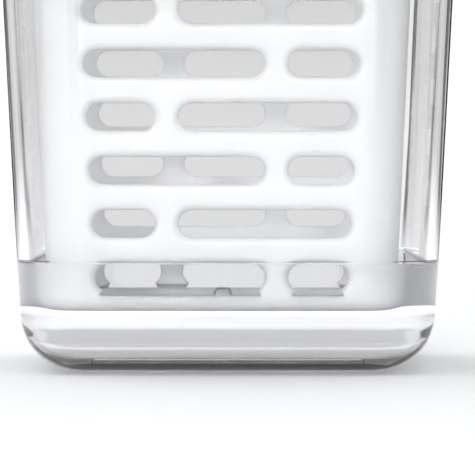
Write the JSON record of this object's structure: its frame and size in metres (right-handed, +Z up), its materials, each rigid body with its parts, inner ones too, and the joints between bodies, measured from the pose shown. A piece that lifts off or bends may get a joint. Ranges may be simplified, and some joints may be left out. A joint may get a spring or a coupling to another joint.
{
  "type": "herb keeper",
  "caption": "Tall clear tapered keeper with a lift-out white slotted basket in two hinged halves and a lift-off lid, for standing fresh herbs in a little water.",
  "frame": {"origin": "middle of the underside of the container, on the surface it stands on", "axes": "+Z up, -Y towards the front, +X to the right as seen from the front"},
  "size_m": [0.114, 0.114, 0.259],
  "materials": {
    "clear_plastic": "gloss",
    "white_plastic": "satin",
    "lid_plastic": "satin",
    "seal_silicone": "matte"
  },
  "bodies": {
    "container": {"container": "clear_plastic"},
    "basket": {"basket_front": "white_plastic", "basket_rear": "white_plastic"},
    "lid": {"lid_cap": "lid_plastic", "lid_liner": "lid_plastic", "lid_seal": "seal_silicone"}
  },
  "joints": [
    {"name": "basket_lift", "type": "slide", "parent": "container", "child": "basket", "axis": [0, 0, 1], "range_m": [0, 0.24]},
    {"name": "lid_lift", "type": "slide", "parent": "basket", "child": "lid", "axis": [0, 0, 1], "range_m": [0, 0.1]}
  ]
}
